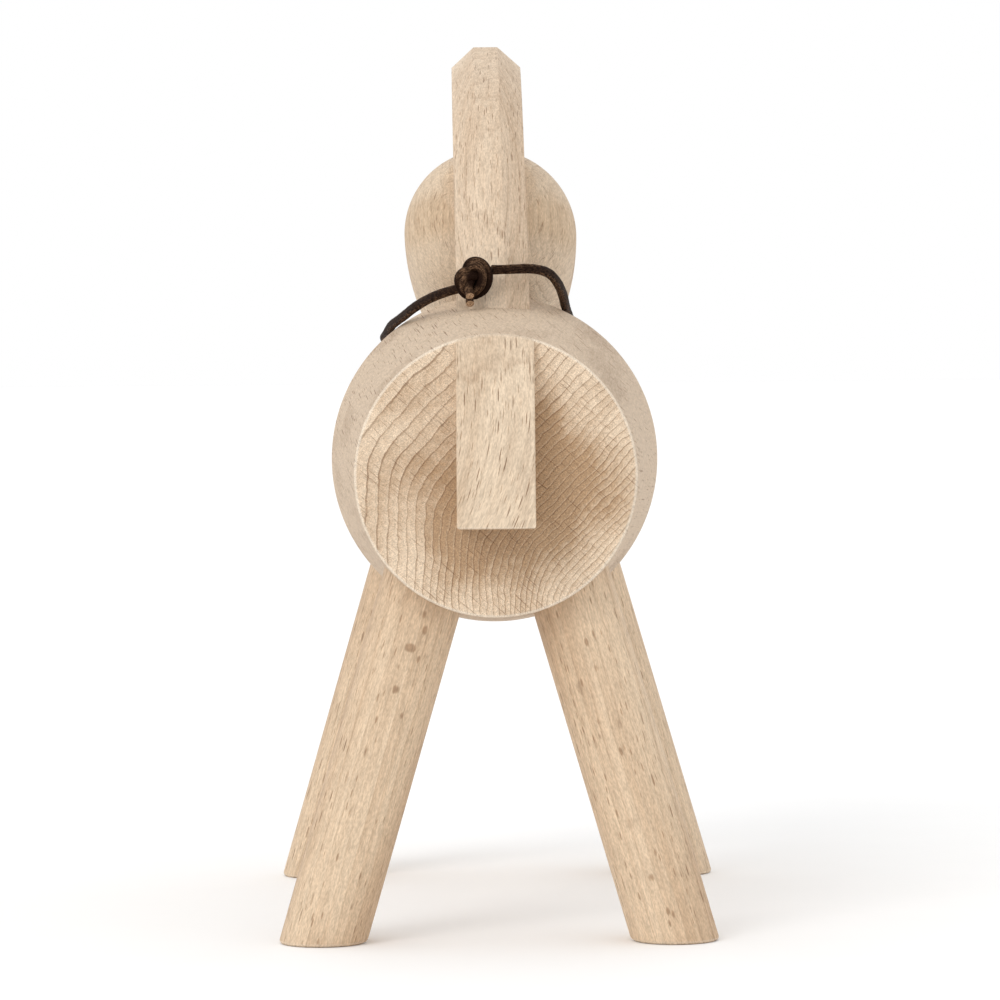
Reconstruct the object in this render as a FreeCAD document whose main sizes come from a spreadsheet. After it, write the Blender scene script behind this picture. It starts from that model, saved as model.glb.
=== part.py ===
import FreeCAD, Part
import math
import os

import Sketcher

# Toy horse of plain beech: a turned barrel on four round legs, a flat neck board with a bevelled
# crest, a turned egg-shaped head, a tail board and a thin leather lace knotted round the neck.
# Millimetres, +Z up, the horse faces -Y, and the origin is on the floor under the middle.
# "Place" is always a distance forward from the flat rear end of the barrel.

SIZES = [
    ("horse_height", 180.0, "floor to the top of the neck board"),
    ("barrel_length", 144.0, "rear end to chest end"),
    ("barrel_axis_height", 91.4, "floor to the barrel's axis"),
    ("rump_dia", 54.4, "barrel diameter at its rear end"),
    ("belly_dia", 68.6, "barrel diameter where its straight side ends"),
    ("belly_back", 46.0, "chest end back to where the straight side ends"),
    ("chest_bow", 105.0, "radius of the side from there to the chest end"),
    ("rump_round", 0.9, "eased edge of the rear end"),
    ("chest_round", 5.0, "rounded edge of the chest end"),
    ("leg_dia", 16.6, "round leg stock"),
    ("leg_splay", 16.2, "sideways lean of every leg, degrees"),
    ("sole_round", 0.9, "eased edge of each sole"),
    ("rear_leg_drop", 7.6, "barrel axis down to a rear leg's blind end"),
    ("front_leg_drop", 8.0, "barrel axis down to a front leg's blind end"),
    ("rear_leg_web", 1.45, "half of the wood left between the two rear leg sockets"),
    ("front_leg_web", 5.3, "half of the wood left between the two front leg sockets"),
    ("rear_leg_wall", 1.1, "wood between the tail's housing and the rear leg sockets"),
    ("chest_wall", 7.0, "wood in front of the front leg sockets"),
    ("board_thick", 15.0, "stock of the neck board and the tail"),
    ("neck_back", 77.0, "chest end back to where the crest leaves the barrel"),
    ("neck_base", 55.0, "length of the neck board along the barrel"),
    ("neck_let_in", 18.0, "depth of the neck's housing below the barrel's highest line"),
    ("crest_reach", 67.0, "crest's foot forward to its top"),
    ("crest_bulge", 9.5, "how far the crest stands out from a straight line"),
    ("crest_bevel", 4.9, "bevel along both sides of the crest"),
    ("throat_hollow", 1.5, "how far the throat is hollowed from a straight line"),
    ("head_dia", 38.0, "largest head diameter"),
    ("head_ahead", 6.0, "chest end forward to the head's largest diameter"),
    ("head_height", 139.2, "floor to the middle of the head"),
    ("head_pitch", 40.0, "how far the head points down, degrees"),
    ("head_front", 36.0, "middle of the head to the flat muzzle"),
    ("head_back", 16.0, "middle of the head to its flat seat on the neck"),
    ("muzzle_dia", 23.2, "diameter where the head is cut off, before rounding"),
    ("muzzle_round", 4.0, "rounded edge of the muzzle"),
    ("seat_below", 11.5, "seat length below the head's axis"),
    ("seat_above", 14.0, "seat length above the head's axis"),
    ("pin_dia", 6.0, "dowel pin between neck and head"),
    ("pin_bite", 11.0, "length of the pin in each piece"),
    ("pin_end_gap", 0.5, "room left at each end of the pin"),
    ("glue_gap", 0.05, "room for glue on each side of a housing or socket"),
    ("tail_drop", 9.6, "barrel axis down to the tail's end"),
    ("tail_out", 14.0, "how far the tail's end stands out"),
    ("tail_let_in", 5.0, "depth of the tail's housing"),
    ("tail_bulge", 1.6, "how far the tail's back stands out from a straight line"),
    ("lace_dia", 2.0, "round leather lace"),
    ("knot_width", 8.0, "knot, side to side"),
    ("knot_depth", 7.0, "knot, front to back"),
    ("knot_tall", 9.2, "knot, top to bottom"),
    ("lace_end", 5.4, "cut lace ends below the middle of the knot"),
    ("lace_end_step", 1.1, "middle of the knot sideways to each cut end"),
    ("saw_room", 1.0, "how far a cut runs past the wood it takes"),
]

# Worked out from the sizes above, in this order.
FORMULAS = [
    ("belly_place", "sizes.barrel_length - sizes.belly_back"),
    ("neck_place", "sizes.barrel_length - sizes.neck_back"),
    ("head_place", "sizes.barrel_length + sizes.head_ahead"),
    ("rump_radius", "sizes.rump_dia / 2"),
    ("belly_radius", "sizes.belly_dia / 2"),
    ("belly_swell", "derived.belly_radius - derived.rump_radius"),
    ("side_length", "sqrt(derived.belly_place ^ 2 + derived.belly_swell ^ 2)"),
    ("bow_place", "derived.belly_place + sizes.chest_bow * derived.belly_swell / derived.side_length"),
    ("bow_centre", "derived.belly_radius"
     " - sizes.chest_bow * derived.belly_place / derived.side_length"),
    ("chest_radius", "derived.bow_centre"
     " + sqrt(sizes.chest_bow ^ 2 - (sizes.barrel_length - derived.bow_place) ^ 2)"),
    ("housing_radius", "derived.rump_radius"
     " + derived.belly_swell * sizes.tail_let_in / derived.belly_place"),
    ("leg_radius", "sizes.leg_dia / 2"),
    ("rear_leg_place", "sizes.tail_let_in + sizes.rear_leg_wall + derived.leg_radius"),
    ("front_leg_place", "sizes.barrel_length - sizes.chest_wall - derived.leg_radius"),
    ("back_z", "sizes.barrel_axis_height + derived.belly_radius"),
    ("crest_foot_z", "sizes.barrel_axis_height + derived.rump_radius"
     " + derived.belly_swell * derived.neck_place / derived.belly_place"),
    ("crest_top_y", "derived.neck_place + sizes.crest_reach"),
    ("crest_chord", "sqrt(sizes.crest_reach ^ 2 + (sizes.horse_height - derived.crest_foot_z) ^ 2)"),
    ("crest_radius", "derived.crest_chord ^ 2 / 8 / sizes.crest_bulge + sizes.crest_bulge / 2"),
    ("seat_place", "derived.head_place - sizes.head_back * cos(sizes.head_pitch)"),
    ("seat_z", "sizes.head_height + sizes.head_back * sin(sizes.head_pitch)"),
    ("seat_low_place", "derived.seat_place - sizes.seat_below * sin(sizes.head_pitch)"),
    ("seat_low_z", "derived.seat_z - sizes.seat_below * cos(sizes.head_pitch)"),
    ("seat_high_place", "derived.seat_place + sizes.seat_above * sin(sizes.head_pitch)"),
    ("seat_high_z", "derived.seat_z + sizes.seat_above * cos(sizes.head_pitch)"),
    ("throat_place", "derived.neck_place + sizes.neck_base"),
    ("throat_z", "sizes.barrel_axis_height + derived.bow_centre"
     " + sqrt(sizes.chest_bow ^ 2 - (derived.throat_place - derived.bow_place) ^ 2)"),
    ("throat_chord", "sqrt((derived.seat_low_place - derived.throat_place) ^ 2"
     " + (derived.seat_low_z - derived.throat_z) ^ 2)"),
    ("throat_radius", "derived.throat_chord ^ 2 / 8 / sizes.throat_hollow"
     " + sizes.throat_hollow / 2"),
    ("head_radius", "sizes.head_dia / 2"),
    ("head_flat", "sqrt(derived.head_radius ^ 2 - sizes.head_back ^ 2)"),
    ("cheek_taper", "derived.head_radius - sizes.muzzle_dia / 2"),
    ("cheek_radius", "(sizes.head_front ^ 2 + derived.cheek_taper ^ 2) / 2 / derived.cheek_taper"),
    ("muzzle_corner", "derived.head_radius - derived.cheek_radius"
     " + sqrt((derived.cheek_radius - sizes.muzzle_round) ^ 2"
     " - (sizes.head_front - sizes.muzzle_round) ^ 2)"),
    ("nose_reach", "derived.head_place + sizes.muzzle_round"
     " + (sizes.head_front - sizes.muzzle_round) * cos(sizes.head_pitch)"
     " + derived.muzzle_corner * sin(sizes.head_pitch)"),
    ("rear_y", "(derived.nose_reach - sizes.tail_out) / 2"),
    ("tail_chord", "sqrt(sizes.tail_out ^ 2 + (derived.rump_radius + sizes.tail_drop) ^ 2)"),
    ("tail_radius", "derived.tail_chord ^ 2 / 8 / sizes.tail_bulge + sizes.tail_bulge / 2"),
]

# The lace from the knot over the left shoulder, across the chest and back over the right one:
# (to the left, back from the chest end, height). The ends lie inside the knot.
LACE_ROUTE = [
    (6.5, 79.0, 127.6), (9.8, 75.4, 126.8), (13.5, 67.5, 125.4), (16.7, 58.5, 123.5),
    (18.7, 50.0, 121.9), (20.3, 42.5, 120.8), (21.8, 34.5, 119.8), (22.8, 25.0, 118.0),
    (24.0, 15.0, 116.6), (21.1, 5.4, 115.1), (14.9, -3.4, 112.8), (6.4, -5.8, 110.4),
    (-2.7, -5.8, 109.9), (-10.6, -5.4, 112.3), (-15.6, 0.0, 116.4), (-17.0, 10.6, 120.1),
    (-16.0, 22.5, 122.2), (-15.3, 33.5, 123.8), (-14.9, 43.0, 125.3), (-14.3, 51.5, 126.8),
    (-13.4, 60.0, 128.5), (-11.5, 68.0, 130.7), (-7.9, 74.0, 131.5), (-3.9, 77.0, 131.3),
    (0.3, 78.4, 131.2),
]
KNOT_MIDDLE = (3.8, 79.2, 129.4)
ARC_SHARE = 0.45          # share of the shorter run that an arc of the lace takes
LEAST_CUT = 1.0           # cubic millimetres that any pocket or groove takes away

doc = FreeCAD.newDocument("toy_horse")
sheet = doc.addObject("Spreadsheet::Sheet", "sizes")
for row, (alias, number, note) in enumerate(SIZES, start=1):
    sheet.set(f"A{row}", alias)
    sheet.set(f"B{row}", str(number))
    sheet.set(f"C{row}", note)
    sheet.setAlias(f"B{row}", alias)
doc.recompute()

derived = doc.addObject("App::VarSet", "derived")
for name, formula in FORMULAS:
    derived.addProperty("App::PropertyFloat", name, "Worked out")
    derived.setExpression(name, formula.replace("derived.", ""))
    doc.recompute()


def number(expression):
    """The present value of an expression over the sheet and the derived values."""
    value = sheet.evalExpression(expression)
    return float(getattr(value, "Value", value))


def plane(body, role):
    """One of the body's own origin planes."""
    return next(p for p in body.Origin.OriginFeatures if p.Role == role)


def new_body(name, place=None):
    """A body; place gives expressions for its position and its turn about an axis."""
    body = doc.addObject("PartDesign::Body", name)
    body.Label = name
    if place:
        put(body, "Placement", place)
    return body


def put(item, prop, place):
    """Binds a placement: x, y, z expressions, then an axis vector and an angle expression."""
    x, y, z, axis, angle = place
    if axis:
        setattr(item, prop, FreeCAD.Placement(FreeCAD.Vector(), FreeCAD.Rotation(axis, 1)))
        item.setExpression(f"{prop}.Rotation.Angle", angle)
    for letter, expression in zip("xyz", (x, y, z)):
        item.setExpression(f"{prop}.Base.{letter}", expression)


def new_sketch(body, name, role, offset=None):
    """A sketch on one of the body's own origin planes, moved off it by an offset if given."""
    sketch = body.newObject("Sketcher::SketchObject", name)
    sketch.AttachmentSupport = [(plane(body, role), "")]
    sketch.MapMode = "FlatFace"
    if offset:
        put(sketch, "AttachmentOffset", offset)
    return sketch


def fix_point(sketch, geometry, end, name, x, y):
    """Ties one point of the sketch to two expressions."""
    for kind, axis, expression, tag in (("DistanceX", -2, x, "x"), ("DistanceY", -1, y, "y")):
        if expression == "0":
            sketch.addConstraint(Sketcher.Constraint("PointOnObject", geometry, end, axis))
            continue
        row = sketch.addConstraint(
            Sketcher.Constraint(kind, -1, 1, geometry, end, number(expression)))
        sketch.renameConstraint(row, f"{name}_{tag}")
        sketch.setExpression(f"Constraints.{name}_{tag}", expression)


def outline(sketch, corners, arcs=None):
    """Closed outline through corners (x, y expressions). arcs maps a side's number to its radius
    expression and to the hand, "left" or "right" of travel, to which it bulges."""
    arcs = arcs or {}
    spots = [FreeCAD.Vector(number(x), number(y), 0) for x, y in corners]
    ends = []
    for side, start in enumerate(spots):
        stop = spots[(side + 1) % len(spots)]
        if side not in arcs:
            row = sketch.addGeometry(Part.LineSegment(start, stop))
            ends.append((row, 1, 2))
            continue
        radius, hand = arcs[side]
        chord = stop - start
        half = chord.Length / 2
        rise = number(radius) - math.sqrt(number(radius) ** 2 - half ** 2)
        right = FreeCAD.Vector(chord.y, -chord.x, 0).normalize()
        middle = (start + stop) / 2 + right * (rise if hand == "right" else -rise)
        row = sketch.addGeometry(Part.Arc(start, middle, stop))
        ends.append((row, 1, 2) if hand == "right" else (row, 2, 1))
    for side, (row, first, last) in enumerate(ends):
        following, its_first, _ = ends[(side + 1) % len(ends)]
        sketch.addConstraint(Sketcher.Constraint("Coincident", row, last, following, its_first))
    for side, (row, first, last) in enumerate(ends):
        fix_point(sketch, row, first, f"corner{side}", *corners[side])
        if side in arcs:
            radius = arcs[side][0]
            item = sketch.addConstraint(Sketcher.Constraint("Radius", row, number(radius)))
            sketch.renameConstraint(item, f"radius{side}")
            sketch.setExpression(f"Constraints.radius{side}", radius)


def circle(sketch, radius):
    """A circle of the given radius expression about the sketch's origin."""
    row = sketch.addGeometry(Part.Circle(FreeCAD.Vector(), FreeCAD.Vector(0, 0, 1), number(radius)))
    sketch.addConstraint(Sketcher.Constraint("Coincident", row, 3, -1, 1))
    item = sketch.addConstraint(Sketcher.Constraint("Radius", row, number(radius)))
    sketch.renameConstraint(item, "radius")
    sketch.setExpression("Constraints.radius", radius)


def feature(body, kind, name, sketch, length=None, symmetric=False, reverse=False):
    """A pad, pocket, revolution or groove made from a sketch."""
    item = body.newObject(f"PartDesign::{kind}", name)
    item.Profile = sketch
    if length:
        item.setExpression("Length", length)
        if symmetric:
            item.Midplane = True
    else:
        item.ReferenceAxis = (sketch, ["H_Axis"])
        item.Angle = 360.0
    item.Reversed = reverse
    sketch.Visibility = False
    doc.recompute()
    return item


def cut(body, kind, name, sketch, **options):
    """A pocket or groove that is seen to take wood away."""
    before = body.Shape.Volume
    item = feature(body, kind, name, sketch, **options)
    if not before - body.Shape.Volume > LEAST_CUT:
        raise ValueError(f"{name} takes nothing away from {body.Label}")
    return item


def ease(body, name, kind, size, wanted):
    """A fillet or chamfer on every edge of the body's last feature that wanted(edge) accepts."""
    base = body.Tip
    names = [f"Edge{i}" for i, edge in enumerate(base.Shape.Edges, start=1) if wanted(edge)]
    if not names:
        raise ValueError(f"{name} finds no edge on {body.Label}")
    item = body.newObject(f"PartDesign::{kind}", name)
    item.Base = (base, names)
    item.setExpression("Radius" if kind == "Fillet" else "Size", size)
    doc.recompute()
    return item


def near(a, b, room=0.01):
    """True where two numbers agree."""
    return abs(a - b) < room


def leg_place(side, end):
    """Where a leg's axis meets the floor, its place, and the turn that leans its top inwards."""
    top_x = f"(derived.leg_radius / cos(sizes.leg_splay) + sizes.{end}_leg_web)"
    top_z = f"(sizes.barrel_axis_height - sizes.{end}_leg_drop)"
    x = f"{side} * ({top_x} + {top_z} * tan(sizes.leg_splay))"
    lean = f"{-side} * sizes.leg_splay"
    return x, f"-derived.{end}_leg_place", lean, f"{top_z} / cos(sizes.leg_splay)"


LEGS = [("leg_rear_left", 1, "rear"), ("leg_rear_right", -1, "rear"),
        ("leg_front_left", 1, "front"), ("leg_front_right", -1, "front")]
TURN_AXIS = FreeCAD.Vector(0, 1, 0)
ON_BARREL = ("0", "derived.rear_y", "sizes.barrel_axis_height", None, None)
ON_FLOOR = ("0", "derived.rear_y", "0", None, None)


def make_barrel():
    """Turned body: straight sides, then a bow to the chest; four leg sockets, two housings."""
    body = new_body("barrel_body", ON_BARREL)
    profile = new_sketch(body, "barrel_profile", "YZ_Plane")
    outline(profile, [("0", "0"), ("-sizes.barrel_length", "0"),
                      ("-sizes.barrel_length", "derived.chest_radius"),
                      ("-derived.belly_place", "derived.belly_radius"),
                      ("0", "derived.rump_radius")], {2: ("sizes.chest_bow", "left")})
    feature(body, "Revolution", "turned_barrel", profile)
    ease(body, "eased_rump", "Fillet", "sizes.rump_round",
         lambda e: near(e.BoundBox.YMin, 0) and near(e.BoundBox.YMax, 0))
    ease(body, "rounded_chest", "Fillet", "sizes.chest_round",
         lambda e: near(e.BoundBox.YMin, -number("sizes.barrel_length"))
         and near(e.BoundBox.YMax, -number("sizes.barrel_length")))
    for name, side, end in LEGS:
        x, y, angle, length = leg_place(side, end)
        socket = new_sketch(body, f"{name}_socket_outline", "XY_Plane",
                            (x, y, "-sizes.barrel_axis_height", TURN_AXIS, angle))
        circle(socket, "derived.leg_radius + sizes.glue_gap")
        cut(body, "Pocket", f"{name}_socket", socket, length=length, reverse=True)
    half = "(sizes.board_thick / 2 + sizes.glue_gap)"
    back = "(-derived.neck_place + sizes.glue_gap)"
    front = "(-derived.throat_place - sizes.glue_gap)"
    housing = new_sketch(body, "neck_housing_outline", "XY_Plane",
                         ("0", "0", "derived.belly_radius - sizes.neck_let_in", None, None))
    outline(housing, [(half, front), (half, back), (f"-{half}", back), (f"-{half}", front)])
    cut(body, "Pocket", "neck_housing", housing, length="sizes.neck_let_in + sizes.saw_room",
        reverse=True)
    slot = new_sketch(body, "tail_housing_outline", "YZ_Plane")
    low = "(-sizes.tail_drop - sizes.glue_gap)"
    outline(slot, [("-sizes.tail_let_in", low), ("sizes.saw_room", low),
                   ("sizes.saw_room", "derived.belly_radius"),
                   ("-sizes.tail_let_in", "derived.belly_radius")])
    cut(body, "Pocket", "tail_housing", slot, length=f"2 * {half}", symmetric=True)
    return body


def make_leg(name, side, end):
    """A round leg whose sole is sawn level with the floor."""
    x, y, angle, length = leg_place(side, end)
    lead = "(derived.leg_radius * tan(sizes.leg_splay) + sizes.saw_room)"
    body = new_body(name, (x, f"derived.rear_y + {y}", "0", TURN_AXIS, angle))
    stock = new_sketch(body, f"{name}_stock", "XY_Plane", ("0", "0", f"-{lead}", None, None))
    circle(stock, "derived.leg_radius")
    feature(body, "Pad", f"{name}_dowel", stock, length=f"{length} + {lead}")
    saw = new_sketch(body, f"{name}_saw_line", "XZ_Plane")
    wide = "sizes.leg_dia"
    rise = f"{side} * sizes.leg_dia * tan(sizes.leg_splay)"
    deep = f"-({lead} + {wide})"
    outline(saw, [(f"-{wide}", deep), (wide, deep), (wide, f"-({rise})"), (f"-{wide}", rise)])
    cut(body, "Pocket", f"{name}_sole", saw, length="2 * sizes.leg_dia", symmetric=True)
    ease(body, f"{name}_sole_edge", "Fillet", "sizes.sole_round",
         lambda e: e.BoundBox.ZMin < number(lead) and e.Closed)
    return body


def make_neck():
    """Neck board: foot in the barrel's housing, arched crest, seat for the head, hollow throat."""
    body = new_body("neck_board", ON_FLOOR)
    side = new_sketch(body, "neck_outline", "YZ_Plane")
    foot = "(derived.back_z - sizes.neck_let_in)"
    outline(side, [("-derived.neck_place", foot), ("-derived.neck_place", "derived.crest_foot_z"),
                   ("-derived.crest_top_y", "sizes.horse_height"),
                   ("-derived.seat_high_place", "derived.seat_high_z"),
                   ("-derived.seat_low_place", "derived.seat_low_z"),
                   ("-derived.throat_place", "derived.throat_z"), ("-derived.throat_place", foot)],
            {1: ("derived.crest_radius", "right"), 4: ("derived.throat_radius", "right")})
    feature(body, "Pad", "neck_slab", side, length="sizes.board_thick", symmetric=True)
    half = number("sizes.board_thick") / 2
    crest = number("derived.crest_radius")

    def on_crest(edge):
        round_edge = isinstance(edge.Curve, Part.Circle) and near(edge.Curve.Radius, crest, 0.1)
        return round_edge and near(abs(edge.CenterOfMass.x), half)
    ease(body, "crest_bevel", "Chamfer", "sizes.crest_bevel", on_crest)
    pin = new_sketch(body, "neck_pin_outline", "XY_Plane",
                     ("0", "-derived.seat_place", "derived.seat_z", FreeCAD.Vector(1, 0, 0),
                      "90 + sizes.head_pitch"))
    circle(pin, "sizes.pin_dia / 2 + sizes.glue_gap")
    cut(body, "Pocket", "neck_pin_hole", pin, length="sizes.pin_bite + sizes.pin_end_gap")
    return body


def make_head():
    """Turned head: round back cut flat for its seat, cheeks on one long arc, rounded muzzle."""
    body = new_body("head", ("0", "derived.rear_y - derived.head_place", "sizes.head_height",
                             FreeCAD.Vector(1, 0, 0), "sizes.head_pitch"))
    profile = new_sketch(body, "head_profile", "YZ_Plane")
    outline(profile, [("sizes.head_back", "0"), ("-sizes.head_front", "0"),
                      ("-sizes.head_front", "sizes.muzzle_dia / 2"), ("0", "derived.head_radius"),
                      ("sizes.head_back", "derived.head_flat")],
            {2: ("derived.cheek_radius", "left"), 3: ("derived.head_radius", "left")})
    feature(body, "Revolution", "turned_head", profile)
    tip = -number("sizes.head_front")
    ease(body, "rounded_muzzle", "Fillet", "sizes.muzzle_round",
         lambda e: near(e.BoundBox.YMin, tip) and near(e.BoundBox.YMax, tip))
    pin = new_sketch(body, "head_pin_outline", "XZ_Plane",
                     ("0", "0", "-sizes.head_back", None, None))
    circle(pin, "sizes.pin_dia / 2 + sizes.glue_gap")
    cut(body, "Pocket", "head_pin_hole", pin, length="sizes.pin_bite + sizes.pin_end_gap",
        reverse=True)
    return body


def make_pin():
    """Dowel pin half in the neck board and half in the head."""
    body = new_body("head_pin", ("0", "derived.rear_y - derived.seat_place", "derived.seat_z",
                                 FreeCAD.Vector(1, 0, 0), "90 + sizes.head_pitch"))
    sketch = new_sketch(body, "pin_outline", "XY_Plane")
    circle(sketch, "sizes.pin_dia / 2")
    feature(body, "Pad", "pin_dowel", sketch, length="2 * sizes.pin_bite", symmetric=True)
    return body


def make_tail():
    """Tail board let into the rump, trimmed flush with the barrel above and sawn level below."""
    body = new_body("tail", ON_BARREL)
    side = new_sketch(body, "tail_outline", "YZ_Plane")
    outline(side, [("-sizes.tail_let_in", "-sizes.tail_drop"), ("sizes.tail_out", "-sizes.tail_drop"),
                   ("0", "derived.rump_radius"), ("0", "derived.belly_radius"),
                   ("-sizes.tail_let_in", "derived.belly_radius")],
            {1: ("derived.tail_radius", "right")})
    feature(body, "Pad", "tail_slab", side, length="sizes.board_thick", symmetric=True)
    trim = new_sketch(body, "tail_trim_outline", "YZ_Plane")
    over = "(derived.belly_radius + sizes.board_thick)"
    outline(trim, [("sizes.tail_out", "derived.rump_radius"), ("sizes.tail_out", over),
                   ("-sizes.tail_let_in", over), ("-sizes.tail_let_in", "derived.housing_radius"),
                   ("0", "derived.rump_radius")])
    cut(body, "Groove", "tail_trim", trim)
    return body


def lace_path():
    """Runs and tangent arcs of the lace, as a wire, with its length and its arcs' radii."""
    chest = number("derived.rear_y - sizes.barrel_length")
    spots = [FreeCAD.Vector(x, chest + back, z) for x, back, z in LACE_ROUTE]
    edges = []
    radii = []
    start = spots[0]
    for before, corner, after in zip(spots, spots[1:], spots[2:]):
        run_in = (corner - before).normalize()
        run_out = (after - corner).normalize()
        half_turn = run_in.getAngle(run_out) / 2
        reach = ARC_SHARE * min((corner - before).Length, (after - corner).Length)
        radii.append(reach / math.tan(half_turn))
        inward = (run_out - run_in).normalize()
        middle = corner + inward * radii[-1] * (1 / math.cos(half_turn) - 1)
        arc_start = corner - run_in * reach
        arc_end = corner + run_out * reach
        edges.append(Part.LineSegment(start, arc_start).toShape())
        edges.append(Part.Arc(arc_start, middle, arc_end).toShape())
        start = arc_end
    edges.append(Part.LineSegment(start, spots[-1]).toShape())
    return Part.Wire(edges), radii


def make_lace():
    """The loose loop of lace, both of its ends in the knot."""
    wire, radii = lace_path()
    radius = number("sizes.lace_dia") / 2
    first = wire.Edges[0]
    ring = Part.Circle(first.Vertexes[0].Point, first.tangentAt(first.FirstParameter), radius)
    tube = wire.makePipeShell([Part.Wire([ring.toShape()])], True, False)
    item = doc.addObject("Part::Feature", "neck_lace")
    item.Label = "neck_lace"
    item.Shape = tube
    item.Placement = FreeCAD.Placement()
    print("lace length", round(wire.Length, 1), "arc radii", [round(r, 1) for r in radii])
    print("lace volume over section times length",
          round(tube.Volume / (math.pi * radius ** 2 * wire.Length), 4))
    return item


def make_knot(lace):
    """The knot as one plain solid with the two cut lace ends, bored where the lace enters."""
    x, back, z = KNOT_MIDDLE
    middle = (f"{x}", f"derived.rear_y - sizes.barrel_length + {back}", f"{z}")
    ball = doc.addObject("Part::Ellipsoid", "knot_ball")
    ball.setExpression("Radius1", "sizes.knot_tall / 2")
    ball.setExpression("Radius2", "sizes.knot_width / 2")
    ball.setExpression("Radius3", "sizes.knot_depth / 2")
    put(ball, "Placement", (*middle, None, None))
    parts = [ball]
    for side in (-1, 1):
        end = doc.addObject("Part::Cylinder", "lace_end_left" if side > 0 else "lace_end_right")
        end.setExpression("Radius", "sizes.lace_dia / 2")
        end.setExpression("Height", "sizes.lace_end")
        put(end, "Placement", (f"{x} + {side} * sizes.lace_end_step", middle[1],
                               f"{z} - sizes.lace_end", None, None))
        parts.append(end)
    whole = doc.addObject("Part::MultiFuse", "knot_whole")
    whole.Shapes = parts
    knot = doc.addObject("Part::Cut", "lace_knot")
    knot.Label = "lace_knot"
    knot.Base = whole
    knot.Tool = lace
    doc.recompute()
    return knot


nodes = [make_barrel()]
nodes += [make_leg(*leg) for leg in LEGS]
nodes += [make_neck(), make_head(), make_pin(), make_tail()]
nodes.append(make_lace())
nodes.append(make_knot(nodes[-1]))
doc.recompute()

for item in doc.Objects:
    if "Invalid" in item.State or "Error" in item.State:
        raise RuntimeError(f"{item.Name} failed: {item.State}")
os.makedirs("parts", exist_ok=True)
for node in nodes:
    shape = node.Shape
    if shape.isNull() or not shape.isValid() or len(shape.Solids) != 1:
        raise RuntimeError(f"{node.Label} is not one valid solid")
    shape.exportStep(f"parts/{node.Label}.step")
    box = shape.BoundBox
    print(f"{node.Label:16s} {shape.Volume:10.1f} mm3  x {box.XMin:7.2f} {box.XMax:7.2f}"
          f"  y {box.YMin:7.2f} {box.YMax:7.2f}  z {box.ZMin:7.2f} {box.ZMax:7.2f}")
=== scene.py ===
# %% [markdown]
# # A plain beech toy horse with a leather lace
# The horse is an assembly: a turned barrel, four round legs, a flat neck board with a bevelled
# crest, an egg-shaped head, a tail board and a thin lace knotted round the neck.
# The CAD model is loaded first, because it fixes every place and size. Blender adds the looks.
# Every length below is in millimetres until the last moment, because that is how a maker thinks.

# %% Load the CAD frame
import math

import bpy
import numpy as np
from mathutils import Euler, Matrix, Vector


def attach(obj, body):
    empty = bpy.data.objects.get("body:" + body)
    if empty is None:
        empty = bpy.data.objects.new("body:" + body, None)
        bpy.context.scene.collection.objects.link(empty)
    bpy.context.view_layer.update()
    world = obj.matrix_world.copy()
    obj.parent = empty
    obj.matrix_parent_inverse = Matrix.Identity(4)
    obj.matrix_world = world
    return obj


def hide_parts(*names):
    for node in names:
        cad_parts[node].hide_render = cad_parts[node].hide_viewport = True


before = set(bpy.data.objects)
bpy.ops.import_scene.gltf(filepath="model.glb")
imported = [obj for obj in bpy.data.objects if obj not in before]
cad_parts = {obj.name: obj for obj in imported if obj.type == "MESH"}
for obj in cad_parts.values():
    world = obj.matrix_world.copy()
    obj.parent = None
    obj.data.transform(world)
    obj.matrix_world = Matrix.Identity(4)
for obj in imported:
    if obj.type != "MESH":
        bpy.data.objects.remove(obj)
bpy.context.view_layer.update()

scene = bpy.context.scene
print("nodes:", sorted(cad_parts))

# %% [markdown]
# ## The camera
# A long lens from behind, a little above the back of the horse, looking slightly down.
# A long lens keeps the upright boards nearly parallel, which suits a small thing.
# The camera leans sideways by less than half a degree, as on a tripod set up by hand, and an
# upright board shows even so little.

# %% Camera
MM = 0.001
REAR_Y = 85.12                        # the flat rear end of the barrel
EYE = Vector((2.5, REAR_Y + 957.5, 126.1))
AIM = Vector((-0.74, REAR_Y, 86.8))   # a point on the rear end, a little below its middle
CAMERA_LEAN = math.radians(-0.43)

lens = bpy.data.cameras.new("studio_lens")
lens.sensor_width = 36.0
lens.lens = 180.0
lens.clip_start = 0.05
lens.clip_end = 50.0
camera = bpy.data.objects.new("studio_camera", lens)
scene.collection.objects.link(camera)
camera.location = EYE * MM
look = (AIM - EYE).to_track_quat("-Z", "Y")
camera.rotation_euler = (look @ Euler((0, 0, CAMERA_LEAN)).to_quaternion()).to_euler()
scene.camera = camera
scene.view_settings.view_transform = "Standard"
print("camera pitch in degrees:", round(math.degrees(math.asin((AIM - EYE).normalized().z)), 2))

# %% [markdown]
# ## Surfaces from arrays
# Each piece is a grid of points worked out with numpy: rows of points along the piece, and each
# row goes once round it. One helper turns such a grid into a mesh. It closes both ends with a
# single point and makes sure that the faces look outwards, by the sign of the enclosed volume.

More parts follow.
